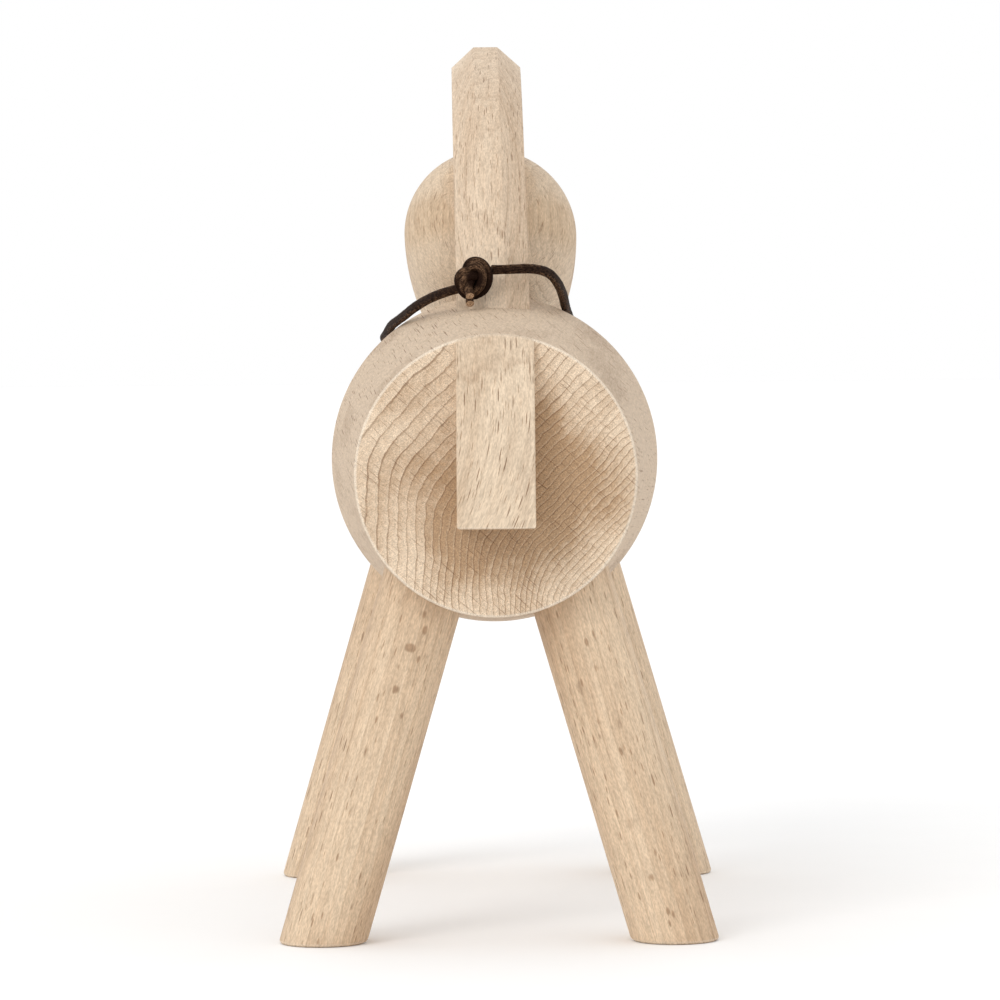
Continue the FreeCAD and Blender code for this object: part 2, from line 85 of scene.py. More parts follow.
# %% From a grid of points to a closed mesh
def closed_skin(name, rows, smooth=True):
    """Mesh of rings rows[i, j], i along the piece and j round it, with a pole at each end.

    Pole = mean of the end ring. Signed volume = sum of a . (b x c) / 6 over its triangles, and the
    faces are turned over where it is negative.
    """
    count, around, _ = rows.shape
    poles = np.stack([rows[0].mean(0), rows[-1].mean(0)])
    points = np.concatenate([rows.reshape(-1, 3), poles])
    i, j = np.meshgrid(np.arange(count - 1), np.arange(around), indexing="ij")
    k = (j + 1) % around
    quads = np.stack([i * around + j, i * around + k,
                      (i + 1) * around + k, (i + 1) * around + j], -1).reshape(-1, 4)
    ring = np.arange(around)
    step = (ring + 1) % around
    last = (count - 1) * around
    first_fan = np.stack([np.full(around, count * around), step, ring], -1)
    last_fan = np.stack([np.full(around, count * around + 1), last + ring, last + step], -1)
    triangles = np.concatenate([quads[:, :3], quads[:, [0, 2, 3]], first_fan, last_fan])
    a, b, c = (points[triangles[:, n]] for n in range(3))
    if np.einsum("ij,ij->i", a, np.cross(b, c)).sum() < 0:
        quads, first_fan, last_fan = quads[:, ::-1], first_fan[:, ::-1], last_fan[:, ::-1]
    mesh = bpy.data.meshes.new(name)
    faces = quads.tolist() + first_fan.tolist() + last_fan.tolist()
    mesh.from_pydata((points * MM).tolist(), [], faces)
    mesh.polygons.foreach_set("use_smooth", np.full(len(faces), smooth))
    mesh.update()
    piece = bpy.data.objects.new(name, mesh)
    scene.collection.objects.link(piece)
    print(name, len(faces), "faces")
    return piece


def settle(piece, node):
    """The piece stands for a CAD node and rides on the one body."""
    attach(piece, "root")
    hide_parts(*node)
    return piece


# %% [markdown]
# ## The leather lace
# A round leather lace, 2 mm thick, hangs loosely round the neck: from the knot over one shoulder,
# across the chest and back over the other. Its line is a smooth spline through control
# points, the same ones as in the CAD model. A hidden curve gives the line, and a numpy tube
# follows it, because a tube of one's own can be a little uneven, as cut leather is.

# %% Control points of the lace
LACE = 2.0                            # diameter
CHEST_Y = REAR_Y - 144.0              # the barrel's front end
# (to the horse's left, back from the chest end, up)
LACE_ROUTE = [
    (6.5, 79.0, 127.6), (9.8, 75.4, 126.8), (13.5, 67.5, 125.4), (16.7, 58.5, 123.5),
    (18.7, 50.0, 121.9), (20.3, 42.5, 120.8), (21.8, 34.5, 119.8), (22.8, 25.0, 118.0),
    (24.0, 15.0, 116.6), (21.1, 5.4, 115.1), (14.9, -3.4, 112.8), (6.4, -5.8, 110.4),
    (-2.7, -5.8, 109.9), (-10.6, -5.4, 112.3), (-15.6, 0.0, 116.4), (-17.0, 10.6, 120.1),
    (-16.0, 22.5, 122.2), (-15.3, 33.5, 123.8), (-14.9, 43.0, 125.3), (-14.3, 51.5, 126.8),
    (-13.4, 60.0, 128.5), (-11.5, 68.0, 130.7), (-7.9, 74.0, 131.5), (-3.9, 77.0, 131.3),
    (0.3, 78.4, 131.2),
]
route = np.array(LACE_ROUTE) + (0, CHEST_Y, 0)


def spline_line(name, points, steps=16):
    """Points along the quadratic NURBS curve that has these control points, in millimetres."""
    data = bpy.data.curves.new(name, "CURVE")
    data.dimensions = "3D"
    spline = data.splines.new("NURBS")
    spline.points.add(len(points) - 1)
    spline.points.foreach_set("co", np.column_stack([points, np.ones(len(points))]).ravel())
    spline.order_u = 3
    spline.use_endpoint_u = True
    spline.resolution_u = steps
    holder = bpy.data.objects.new(name, data)
    scene.collection.objects.link(holder)
    line = bpy.data.meshes.new_from_object(holder)
    found = np.empty(len(line.vertices) * 3)
    line.vertices.foreach_get("co", found)
    bpy.data.objects.remove(holder)
    return found.reshape(-1, 3)


lace_line = spline_line("lace_line", route)
lace_length = np.linalg.norm(np.diff(lace_line, axis=0), axis=1).sum()
print("lace loop is", round(lace_length, 1), "mm long")


# %% A tube along a line
def tube_rows(line, radius, up, around):
    """Rings of a tube: ring(i, a) = line(i) + radius(i, a) * (cos a * side + sin a * top).

    T is the line's direction, side = T x up made unit, and top = side x T.
    """
    along = np.gradient(line, axis=0)
    along /= np.linalg.norm(along, axis=1, keepdims=True)
    side = np.cross(along, up)
    side /= np.linalg.norm(side, axis=1, keepdims=True)
    top = np.cross(side, along)
    turn = np.linspace(0, 2 * np.pi, around, endpoint=False)
    spread = (np.cos(turn)[:, None] * side[:, None] + np.sin(turn)[:, None] * top[:, None])
    return line[:, None] + np.broadcast_to(radius, (len(line), around))[..., None] * spread


def length_map(piece, rows):
    """UV map of a tube: U = millimetres along it, V = turns round it.

    A face that closes the round would run from V near 1 back to 0, so its low V gets 1 added.
    """
    count, around, _ = rows.shape
    middle = rows.mean(1)
    covered = np.concatenate([[0], np.cumsum(np.linalg.norm(np.diff(middle, axis=0), axis=1))])
    point_u = np.concatenate([np.repeat(covered, around), [covered[0], covered[-1]]])
    point_v = np.concatenate([np.tile(np.arange(around) / around, count), [0.5, 0.5]])
    mesh = piece.data
    corner = np.empty(len(mesh.loops), int)
    mesh.loops.foreach_get("vertex_index", corner)
    start = np.empty(len(mesh.polygons), int)
    mesh.polygons.foreach_get("loop_start", start)
    total = np.empty(len(mesh.polygons), int)
    mesh.polygons.foreach_get("loop_total", total)
    u = point_u[corner]
    v = point_v[corner]
    face_top = np.repeat(np.maximum.reduceat(v, start), total)
    v = np.where(face_top - v > 0.5, v + 1, v)
    layer = mesh.uv_layers.new(name="along_lace")
    layer.data.foreach_set("uv", np.column_stack([u, v]).ravel())


# %% The lace itself
LACE_SIDES = 20
WANDER, OVAL = 0.025, 0.03            # thinner places and flatter sides, as shares of the radius
lace_turn = np.linspace(0, 2 * np.pi, LACE_SIDES, endpoint=False)
lace_run = np.linspace(0, lace_length, len(lace_line))[:, None]
uneven = (1 + WANDER * np.sin(0.9 * lace_run + 1.3) * np.sin(0.37 * lace_run)
          + OVAL * np.cos(2 * lace_turn + 0.12 * lace_run))
lace_rows = tube_rows(lace_line, LACE / 2 * uneven, np.array([0.0, 0.0, 1.0]), LACE_SIDES)
lace = settle(closed_skin("leather_lace", lace_rows), ["neck_lace"])
length_map(lace, lace_rows)

# %% [markdown]
# ## The overhand knot
# Both ends of the lace are tied together in one overhand knot, so its strands lie in pairs.
# Each strand is a short tube on its own spline, placed round the middle of the knot:
# two wraps over the right side, two more for the lobe on the left, one that passes through the
# middle, and two cut ends below. They are one mesh, because nobody ever takes this knot apart.

# %% Strands of the knot
KNOT_MIDDLE = np.array([3.8, CHEST_Y + 79.2, 129.4])
# (to the right, towards the back of the horse, up) as seen from behind
STRANDS = {
    "outer_wrap": [(-1.9, -0.9, 1.4), (-1.6, 0.1, 2.9), (-0.2, 0.6, 3.75), (1.5, 0.5, 3.3),
                   (2.6, 0.3, 1.9), (2.9, 0.0, 0.2), (2.4, -0.2, -1.5), (1.3, -0.3, -2.8),
                   (-0.2, -0.6, -3.4)],
    "inner_wrap": [(-1.2, -0.2, 1.0), (-0.9, 1.0, 2.3), (0.2, 1.5, 2.7), (1.2, 1.5, 2.1),
                   (1.65, 1.4, 0.6), (1.4, 1.3, -0.9), (0.6, 0.9, -2.2), (-0.5, 0.4, -3.0)],
    "lobe": [(0.7, 0.1, 1.3), (-1.0, 0.8, 1.7), (-2.6, 0.8, 1.4), (-3.5, 0.3, 0.2),
             (-3.3, 0.0, -1.5), (-2.2, -0.1, -3.1), (-0.6, -0.3, -3.6), (1.0, -0.8, -2.8)],
    "lobe_inside": [(0.8, 0.4, 0.5), (-0.7, 1.3, 0.6), (-2.0, 1.6, 0.1), (-2.6, 1.2, -1.2),
                    (-2.0, 0.7, -2.5), (-0.7, 0.4, -3.0)],
    "through": [(2.4, -0.9, 1.5), (1.1, -0.4, 0.4), (0.4, -0.3, -0.6), (-0.3, -0.5, -1.6),
                (-1.6, -0.9, -2.4)],
    "first_end": [(-0.7, 0.4, 0.0), (-1.2, 1.5, -1.1), (-1.3, 2.4, -2.4), (-1.05, 3.5, -3.5)],
    "second_end": [(-0.6, -0.2, -1.4), (-1.1, 0.6, -2.8), (-1.2, 1.3, -4.2), (-1.05, 2.4, -5.1)],
}
CUT_ENDS = ("first_end", "second_end")
# shares of the lace's thickness, because a strand that is pulled tight gets thinner
WRAP_SIZE, STRAND_SIZE = 0.91, {"first_end": 0.84, "second_end": 0.80}
STRAND_SIDES = 18


def knot_place(points):
    """Points of a strand in the horse's frame: x changes sign, then the middle is added."""
    return np.array(points) * (-1, 1, 1) + KNOT_MIDDLE


def knot_strand(name, points):
    """Rings of one strand: a tube on its spline, whose radius swells by 4% and back.

    The tube's up is the axis that the strand turns round: the mean of (P - middle) x direction.
    """
    line = spline_line(name, knot_place(points), 12)
    middle = line.mean(0)
    spin = np.cross(line - middle, np.gradient(line, axis=0)).mean(0)
    radius = LACE / 2 * STRAND_SIZE.get(name, WRAP_SIZE)
    swell = 1 + 0.04 * np.sin(np.linspace(0, 9, len(line)))[:, None]
    return tube_rows(line, radius * swell, spin / np.linalg.norm(spin), STRAND_SIDES)


strands = []
for name, points in STRANDS.items():
    rows = knot_strand(name, points)
    strand = closed_skin(name, rows)
    length_map(strand, rows)
    strands.append(strand)

# %% Join the strands
with bpy.context.temp_override(active_object=strands[0], selected_editable_objects=strands):
    bpy.ops.object.join()
knot = strands[0]
knot.name = "overhand_knot"
settle(knot, ["lace_knot"])
print("knot vertices:", len(knot.data.vertices))

# %% [markdown]
# ## Turned pieces
# The barrel and the head come off a lathe. Such a piece is its profile carried once round an
# axis. A profile is a list of (distance along the axis, radius), made of straight runs and arcs.
# Small arcs at the corners are the edges that sandpaper has eased: without them no light catches.

# %% Profile helpers
def arc(centre, radius, start, stop, count):
    """Points centre + radius * (cos a, sin a) for a from start to stop, in degrees."""
    a = np.radians(np.linspace(start, stop, count))
    return np.column_stack([centre[0] + radius * np.cos(a), centre[1] + radius * np.sin(a)])


def run(a, b, count):
    """Points a + (b - a) * t for t from 0 to 1."""
    return np.array(a) + (np.array(b) - np.array(a)) * np.linspace(0, 1, count)[:, None]


def turned_rows(profile, origin, forward, around):
    """Rings of a turned piece: origin + forward * p + radius * (cos a * side + sin a * top)."""
    forward = np.array(forward, float)
    side = np.array([1.0, 0.0, 0.0])
    top = np.cross(side, forward)
    turn = np.linspace(0, 2 * np.pi, around, endpoint=False)
    spread = np.cos(turn)[:, None] * side + np.sin(turn)[:, None] * top
    middle = np.array(origin) + profile[:, :1] * forward
    return middle[:, None] + profile[:, 1][:, None, None] * spread


# %% The barrel
AXIS_Z = 91.4                         # height of the barrel's axis
LENGTH = 144.0
RUMP, BELLY = 27.2, 34.3              # radius at the rear end, and where the taper stops
BELLY_AT = 98.0                       # how far ahead of the rear end the taper stops
BOW = 105.0                           # radius of the long bow from there to the chest
RUMP_EASE, CHEST_ROUND = 0.9, 5.0     # radii of the two rounded edges
HUB = 0.3                             # radius of the smallest ring, round each pole
rise = (BELLY - RUMP) / BELLY_AT
slant = math.degrees(math.atan(rise))
slope = math.hypot(1, rise)
bow_at = BELLY_AT + BOW * rise / slope
bow_mid = BELLY - BOW / slope
rump_mid = (RUMP_EASE, RUMP + RUMP_EASE * rise - RUMP_EASE * slope)
chest_mid = (LENGTH - CHEST_ROUND,
             bow_mid + math.sqrt((BOW - CHEST_ROUND) ** 2 - (LENGTH - CHEST_ROUND - bow_at) ** 2))
chest_turn = math.degrees(math.atan2(chest_mid[1] - bow_mid, chest_mid[0] - bow_at))
rump_edge = arc(rump_mid, RUMP_EASE, 180, 90 + slant, 9)
barrel_profile = np.concatenate([
    run((0, HUB), rump_edge[0], 16)[:-1],
    rump_edge,
    run(rump_edge[-1], (BELLY_AT, BELLY), 56)[1:-1],
    arc((bow_at, bow_mid), BOW, 90 + slant, chest_turn, 40)[:-1],
    arc(chest_mid, CHEST_ROUND, chest_turn, 0, 14),
    run((LENGTH, chest_mid[1]), (LENGTH, HUB), 14)[1:],
])
barrel_rows = turned_rows(barrel_profile, (0, REAR_Y, AXIS_Z), (0, -1, 0), 288)
barrel = settle(closed_skin("turned_barrel", barrel_rows), ["barrel_body"])
print("barrel widest radius:", round(barrel_profile[:, 1].max(), 2))

# %% A neck that leans
LEAN_FROM, LEAN_RATE = 118.0, 0.0204


def lean(rows):
    """The neck was glued in a touch off upright: x + rate * (z - from), above the height from."""
    bent = rows.copy()
    bent[..., 0] += LEAN_RATE * np.clip(rows[..., 2] - LEAN_FROM, 0, None)
    return bent


# %% The head
HEAD_R = 19.0                         # radius where it is widest
HEAD_FRONT, HEAD_BACK = 36.0, 16.0    # from there to the muzzle, and to the flat seat
MUZZLE, MUZZLE_ROUND = 11.6, 4.0      # radius of the flat muzzle's corner, and of its rounding
HEAD_PITCH = math.radians(40)         # how far the nose points down
HEAD_AT = (0, REAR_Y - 150.0, 139.2)
cheek_drop = HEAD_R - MUZZLE
cheek = (HEAD_FRONT ** 2 + cheek_drop ** 2) / 2 / cheek_drop
muzzle_x = HEAD_FRONT - MUZZLE_ROUND
muzzle_mid = (muzzle_x, HEAD_R - cheek + math.sqrt((cheek - MUZZLE_ROUND) ** 2 - muzzle_x ** 2))
muzzle_turn = math.degrees(math.atan2(muzzle_mid[1] - HEAD_R + cheek, muzzle_mid[0]))
seat_turn = math.degrees(math.acos(-HEAD_BACK / HEAD_R))
seat_edge = HEAD_R * math.sin(math.radians(seat_turn))
head_profile = np.concatenate([
    run((-HEAD_BACK, HUB), (-HEAD_BACK, seat_edge), 8)[:-1],
    arc((0, 0), HEAD_R, seat_turn, 90, 48)[:-1],
    arc((0, HEAD_R - cheek), cheek, 90, muzzle_turn, 48)[:-1],
    arc(muzzle_mid, MUZZLE_ROUND, muzzle_turn, 0, 14),
    run((HEAD_FRONT, muzzle_mid[1]), (HEAD_FRONT, HUB), 10)[1:],
])
head_way = (0, -math.cos(HEAD_PITCH), -math.sin(HEAD_PITCH))
head_rows = lean(turned_rows(head_profile, HEAD_AT, head_way, 192))
head = settle(closed_skin("egg_head", head_rows), ["head"])

# %% [markdown]
# ## The legs
# Each leg is round stock, let into the barrel at a slant and sawn off level with the floor.
# A level slice through a slanted round bar is an ellipse, so the leg is a stack of level
# ellipses. Near the floor they shrink along a quarter circle: that is the eased edge of the sole.

# %% The four legs
LEG_R, SPLAY, SOLE_EASE = 8.3, math.radians(16.2), 0.9
# x where the leg's axis meets the floor, height of its hidden top, distance from the rear end
LEG_PAIRS = {"rear": (34.44, 83.8, 14.4), "front": (38.17, 83.4, 128.7)}


def leg_rows(side, foot_x, top_z, place, around=112):
    """Level ellipses at height z: centre x = side * (foot_x - z tan s), half-axes R / cos s and R.

    Below the eased edge both half-axes lose e - sqrt(e^2 - (e - z)^2). Two smaller rings inside
    the first one fill the sole.
    """
    ease = SOLE_EASE * (1 - np.cos(np.radians(np.linspace(0, 90, 9))))
    z = np.concatenate([ease, np.linspace(SOLE_EASE, top_z, 72)[1:]])
    below = np.clip(SOLE_EASE - z, 0, None)
    lost = (SOLE_EASE - np.sqrt(SOLE_EASE ** 2 - below ** 2))[:, None]
    turn = np.linspace(0, 2 * np.pi, around, endpoint=False)
    centre_x = side * (foot_x - z * math.tan(SPLAY))[:, None]
    x = centre_x + (LEG_R / math.cos(SPLAY) - lost) * np.cos(turn)
    y = REAR_Y - place + (LEG_R - lost) * np.sin(turn)
    rows = np.stack([x, y, np.broadcast_to(z[:, None], x.shape)], -1)
    middle = rows[0].mean(0)
    return np.concatenate([middle + (rows[:1] - middle) * f for f in (0.02, 0.5)] + [rows])


legs = {}
for pair, measures in LEG_PAIRS.items():
    for hand, side in (("left", 1), ("right", -1)):
        leg = closed_skin(pair + "_" + hand + "_leg", leg_rows(side, *measures))
        settle(leg, ["leg_" + pair + "_" + hand])
        legs[leg] = (side, *measures)

# %% [markdown]
# ## The boards
# The neck and the tail are sawn from one board. A board is an outline seen from the side,
# carried across its thickness. The crest of the neck has a broad bevel on both sides, so there
# the outline shrinks towards the two faces. A small bevel modifier eases the sharp edges.

# %% A board from its outline
def ease_edges(piece, width, sharp):
    """Bevel every edge that bends by more than sharp degrees, width mm wide."""
    bevel = piece.modifiers.new("eased_edges", "BEVEL")
    bevel.width = width * MM
    bevel.segments = 3
    bevel.limit_method = "ANGLE"
    bevel.angle_limit = math.radians(sharp)
    bevel.harden_normals = True


def board(name, outer, inner, half, flat):
    """Closed board of four outlines: inner at x = -half, outer at -flat and flat, inner at half."""
    spots = [(-half, inner), (-flat, outer), (flat, outer), (half, inner)]
    rows = np.stack([np.column_stack([np.full(len(line), x), line]) for x, line in spots])
    return closed_skin(name, lean(rows))


def arc_between(a, b, bulge, count):
    """Arc from a to b that stands out by bulge to the left of the way from a to b."""
    a, b = np.array(a, float), np.array(b, float)
    chord = b - a
    span = np.hypot(*chord)
    radius = span ** 2 / 8 / abs(bulge) + abs(bulge) / 2
    left = np.array([-chord[1], chord[0]]) / span * np.sign(bulge)
    centre = (a + b) / 2 + left * (abs(bulge) - radius)
    from_a, to_b = (math.atan2(*(p - centre)[::-1]) for p in (a, b))
    sweep = (to_b - from_a + math.pi) % (2 * math.pi) - math.pi
    turn = from_a + sweep * np.linspace(0, 1, count)
    return centre + radius * np.column_stack([np.cos(turn), np.sin(turn)]), centre, radius


# %% The neck board
HALF_BOARD, BEVEL = 7.5, 4.9          # half the board's thickness, and the crest's bevel
FOOT_AT, THROAT_AT = 67.0, 122.0      # rear and front of the foot, ahead of the rear end
FOOT_Z = 107.7                        # height of the foot, inside the barrel
# corners as (distance ahead of the rear end, height)
crest_foot = (FOOT_AT, AXIS_Z + RUMP + rise * FOOT_AT)
crest_top = (134.0, 180.0)
seat_high, seat_low = (146.74, 160.2), (130.35, 140.7)
throat = (THROAT_AT, AXIS_Z + bow_mid + math.sqrt(BOW ** 2 - (THROAT_AT - bow_at) ** 2))
crest, crest_mid, crest_r = arc_between(crest_foot, crest_top, 9.5, 64)
throat_arc, _, _ = arc_between(seat_low, throat, -1.5, 16)


def meets(line_a, line_b, centre, radius, close_to):
    """Where a line meets a circle: |a + t d - centre| = radius with d = b - a.

    Of the two roots, the one whose place is nearer to close_to.
    """
    a, d = np.array(line_a, float), np.array(line_b, float) - np.array(line_a, float)
    m = a - centre
    roots = np.roots([d @ d, 2 * (m @ d), m @ m - radius ** 2]).real
    spots = a + roots[:, None] * d
    return spots[np.argmin(np.linalg.norm(spots - close_to, axis=1))]


inner_foot = meets((FOOT_AT, FOOT_Z), crest_foot, crest_mid, crest_r - BEVEL, crest_foot)
inner_top = meets(seat_high, crest_top, crest_mid, crest_r - BEVEL, crest_top)
turn_a, turn_b = (math.degrees(math.atan2(*(p - crest_mid)[::-1])) for p in (inner_foot, inner_top))
inner_crest = arc(crest_mid, crest_r - BEVEL, turn_a, turn_b, 64)


def neck_outline(crest_line):
    """(Y, Z) once round: crest, front of the crest, seat of the head, throat, foot."""
    top, foot = crest_line[-1], crest_line[0]
    parts = [crest_line, run(top, seat_high, 10)[1:], run(seat_high, seat_low, 12)[1:],
             throat_arc[1:], run(throat_arc[-1], (THROAT_AT, FOOT_Z), 8)[1:],
             run((THROAT_AT, FOOT_Z), (FOOT_AT, FOOT_Z), 16)[1:],
             run((FOOT_AT, FOOT_Z), foot, 8)[1:-1]]
    line = np.concatenate(parts)
    return np.column_stack([REAR_Y - line[:, 0], line[:, 1]])


neck = board("neck_and_crest", neck_outline(crest), neck_outline(inner_crest),
             HALF_BOARD, HALF_BOARD - BEVEL)
ease_edges(neck, 0.30, 24)
settle(neck, ["neck_board"])

# %% The tail board
TAIL_LOW = AXIS_Z - 9.6               # height of its lower end
TAIL_OUT, TAIL_IN = 14.0, -5.0        # how far it stands out there, and how deep it is let in
TUCK = 0.4                            # its inner end is that much lower, to stay hidden
tail_back, _, _ = arc_between((TAIL_OUT, TAIL_LOW), (0.0, AXIS_Z + RUMP), -1.6, 48)


def tail_rows(half=HALF_BOARD, columns=13):
    """For each x across: up the back to the rim sqrt(R^2 - x^2), over the top, down the inside
    and back along the bottom. The back's arc is read at even steps of height.
    """
    x = np.linspace(-half, half, columns)[:, None]
    rim = AXIS_Z + np.sqrt(RUMP ** 2 - x ** 2)
    up = TAIL_LOW + (rim - TAIL_LOW) * np.linspace(0, 1, 44)
    out = np.interp(up, tail_back[:, 1], tail_back[:, 0])
    deep = np.linspace(0, 1, 6)[1:-1]
    top_out = out[:, -1:] + (TAIL_IN - out[:, -1:]) * deep
    top_up = rim - TUCK * deep
    inside_up = rim - TUCK + (TAIL_LOW - rim + TUCK) * np.linspace(0, 1, 12)
    bottom_out = TAIL_IN + (TAIL_OUT - TAIL_IN) * np.linspace(0, 1, 8)[1:-1]
    y = np.concatenate([out, top_out, np.full_like(inside_up, TAIL_IN),
                        np.broadcast_to(bottom_out, (columns, 6))], 1)
    z = np.concatenate([up, top_up, inside_up, np.full((columns, 6), TAIL_LOW)], 1)
    return np.stack([np.broadcast_to(x, y.shape), REAR_Y + y, z], -1)


tail = closed_skin("tail_board", tail_rows())
ease_edges(tail, 0.5, 30)
settle(tail, ["tail"])

# %% [markdown]
# ## How beech looks, and why one pattern in space is enough
# Wood is a bundle of long cells. Three things show in plain beech, and all of them are solid
# things inside the block, so one pattern in space gives every cut its right face:
# growth rings, which are shells round the middle of the tree; rays, which are thin upright
# plates that point to that middle; and vessels, which are fine tubes along the grain.
# A ray cut across its edge is a short dark dash, cut flat it is a rounded fleck, and cut through
# the end of the board it is a hair line across the rings. Nothing has to be painted by hand.

# %% A short way to write node graphs
def srgb(red, green, blue):
    """Linear colour of an 8-bit display colour."""
    c = np.array([red, green, blue]) / 255
    return (*np.where(c <= 0.04045, c / 12.92, ((c + 0.055) / 1.055) ** 2.4), 1.0)


class Graph:
    """Nodes of one material; every call adds a node and gives its output.

    A value is a number, a colour, or the output of an earlier node.
    """

    def __init__(self, name):
        self.material = bpy.data.materials.new(name)
        self.material.use_nodes = True
        self.tree = self.material.node_tree
        self.shader = self.tree.nodes["Principled BSDF"]

    def add(self, kind, output, inputs, **settings):
        """One node of a kind with its settings and inputs; gives the named output."""
        node = self.tree.nodes.new(kind)
        for key, value in settings.items():
            setattr(node, key, value)
        for key, value in inputs.items():
            self.set(node.inputs[key], value)
        return node.outputs[output]

    def set(self, socket, value):
        """Link an output to the socket, or set the socket's own value."""
        if isinstance(value, bpy.types.NodeSocket):
            self.tree.links.new(value, socket)
        else:
            socket.default_value = value

    def math(self, operation, *values):
        return self.add("ShaderNodeMath", "Value", dict(enumerate(values)), operation=operation)

    def plus(self, first, *others):
        for other in others:
            first = self.math("ADD", first, other)
        return first

    def times(self, first, *others):
        for other in others:
            first = self.math("MULTIPLY", first, other)
        return first

    def vector(self, operation, *values, output="Vector"):
        return self.add("ShaderNodeVectorMath", output, dict(enumerate(values)),
                        operation=operation)

    def scaled(self, vector, factor):
        return self.vector("MULTIPLY", vector, factor)

    def shifted(self, vector, other):
        return self.vector("ADD", vector, other)

    def parts(self, vector):
        """The three numbers of a vector."""
        node = self.add("ShaderNodeSeparateXYZ", 0, {0: vector}).node
        return tuple(node.outputs)

    def millimetres(self):
        """The place in the piece, in mm."""
        place = self.add("ShaderNodeTexCoord", "Object", {})
        return self.scaled(place, (1 / MM, 1 / MM, 1 / MM))

    def noise(self, vector, scale, detail=2.0, output="Fac"):
        """Soft noise from 0 to 1, with about that many lumps in each unit of the vector."""
        return self.add("ShaderNodeTexNoise", output,
                        {"Vector": vector, "Scale": scale, "Detail": detail})

    def span(self, value, low, high, out_low=0.0, out_high=1.0):
        """Smooth step: out_low where value is low or less, out_high where it is high or more."""
        return self.add("ShaderNodeMapRange", "Result",
                        {"Value": value, "From Min": low, "From Max": high,
                         "To Min": out_low, "To Max": out_high}, interpolation_type="SMOOTHSTEP")

    def mix(self, factor, a, b):
        """Colour a where factor is 0, colour b where it is 1."""
        node = self.tree.nodes.new("ShaderNodeMix")
        node.data_type = "RGBA"
        for socket, value in zip((node.inputs[0], node.inputs[6], node.inputs[7]), (factor, a, b)):
            self.set(socket, value)
        return node.outputs[2]

    def finish(self, colour, roughness, height, depth, strength=1.0):
        """Connect the shader; height from 0 to 1 stands for depth mm of relief."""
        bump = self.add("ShaderNodeBump", "Normal",
                        {"Height": height, "Distance": depth * MM, "Strength": strength})
        self.set(self.shader.inputs["Base Color"], colour)
        self.set(self.shader.inputs["Roughness"], roughness)
        self.set(self.shader.inputs["Normal"], bump)
        return self.material


# %% Where the wood comes from: coordinates across, towards and along the grain
def wood_axes(grain, ray):
    """Unit vectors (t, r, a): a along the grain, r towards the middle of the tree, t = r x a."""
    a = Vector(grain).normalized()
    r = Vector(ray)
    r = (r - a * r.dot(a)).normalized()
    return r.cross(a), r, a


def wood_place(graph, axes, origin):
    """Mapping node: (t, r, a) = R (1000 P - origin), the rows of R being the three axes."""
    turn = Matrix(axes)
    place = graph.add("ShaderNodeTexCoord", "Object", {})
    return graph.add("ShaderNodeMapping", "Vector",
                     {"Vector": place, "Location": -(turn @ Vector(origin)),
                      "Rotation": turn.to_euler(), "Scale": (1 / MM, 1 / MM, 1 / MM)})


# %% Rays: thin plates scattered through the wood
def ray_plates(graph, wood, size, low, high):
    """1 inside a plate, 0 outside: a cell pattern squeezed to (thin, deep, tall) cells."""
    cells = graph.scaled(wood, tuple(1 / s for s in size))
    near = graph.add("ShaderNodeTexVoronoi", "Distance", {"Vector": cells, "Scale": 1.0})
    return graph.span(near, low, high, 1.0, 0.0)


# %% Colours that every piece of beech shares
LATE_LINE = srgb(124, 92, 64)         # the dark line that closes a growth ring
EARLY_BAND = srgb(222, 203, 178)      # the pale band just after it
SMALL_RAY = srgb(136, 102, 72)
BIG_RAY = srgb(120, 87, 60)
SANDED_RIM_HIGHLIGHT = srgb(240, 228, 210)       # painted highlight along the eased edge of a cut end, whose sanded grain is also a little paler
